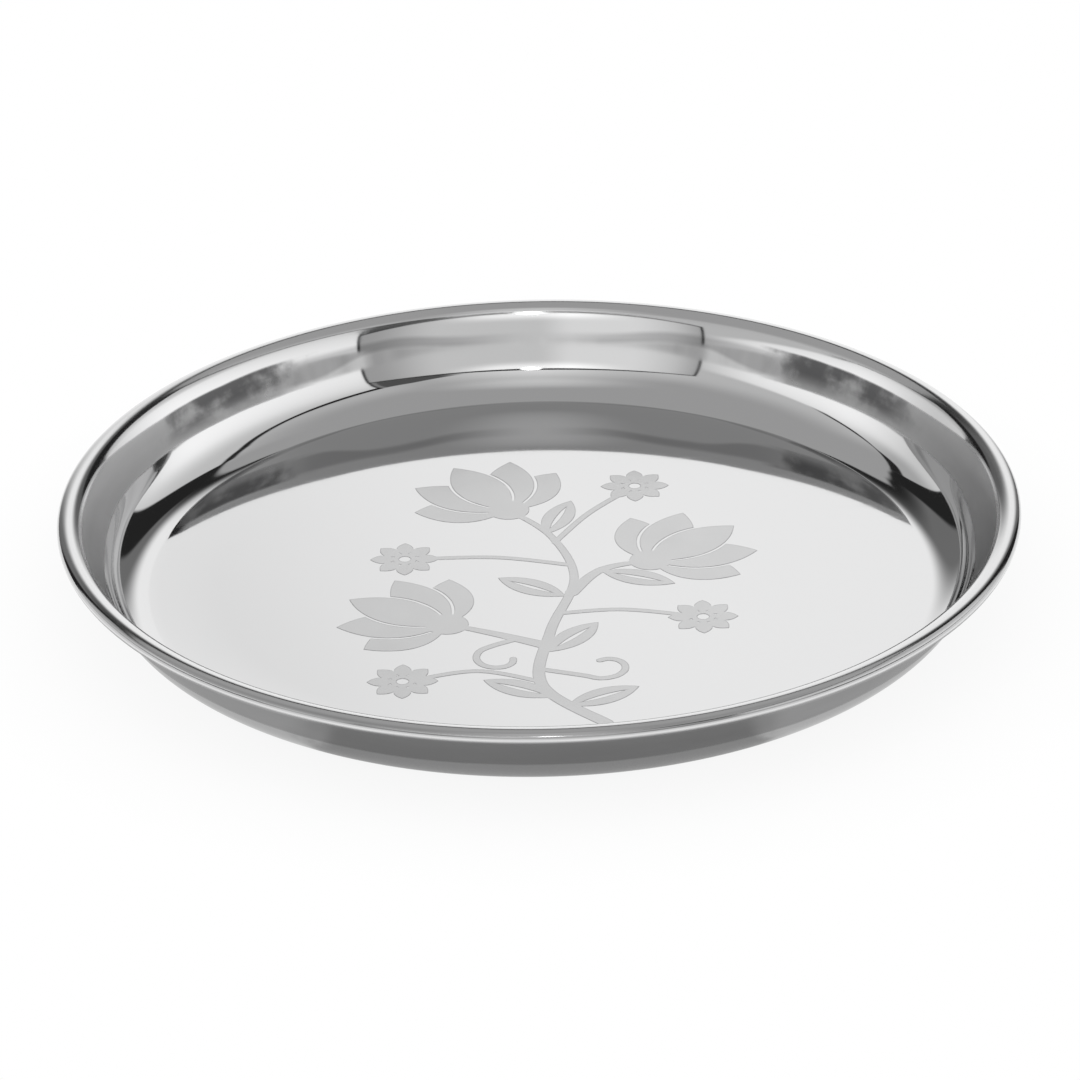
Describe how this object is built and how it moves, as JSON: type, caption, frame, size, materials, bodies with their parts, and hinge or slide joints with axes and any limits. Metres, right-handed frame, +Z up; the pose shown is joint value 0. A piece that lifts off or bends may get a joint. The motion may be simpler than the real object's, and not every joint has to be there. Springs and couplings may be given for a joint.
{
  "type": "buffet plate",
  "caption": "Round mirror-polished steel plate with a flat etched floor, a steep curved wall and a rolled rim, for serving and carrying food.",
  "frame": {"origin": "middle of the flat underside, on the surface that the plate stands on", "axes": "+Z up through the middle of the plate; -Y towards the person at the table, at the foot of the etched stem"},
  "size_m": [0.28, 0.28, 0.0263],
  "materials": {
    "polished_steel": "mirror-polished stainless steel with faint polishing marks",
    "drawn_wire": "plain drawn steel wire",
    "etched_steel": "matt etched stainless steel"
  },
  "bodies": {
    "root": {"plate_pressing": "polished_steel", "rim_wire": "drawn_wire", "etched_figure": "etched_steel"}
  },
  "joints": []
}
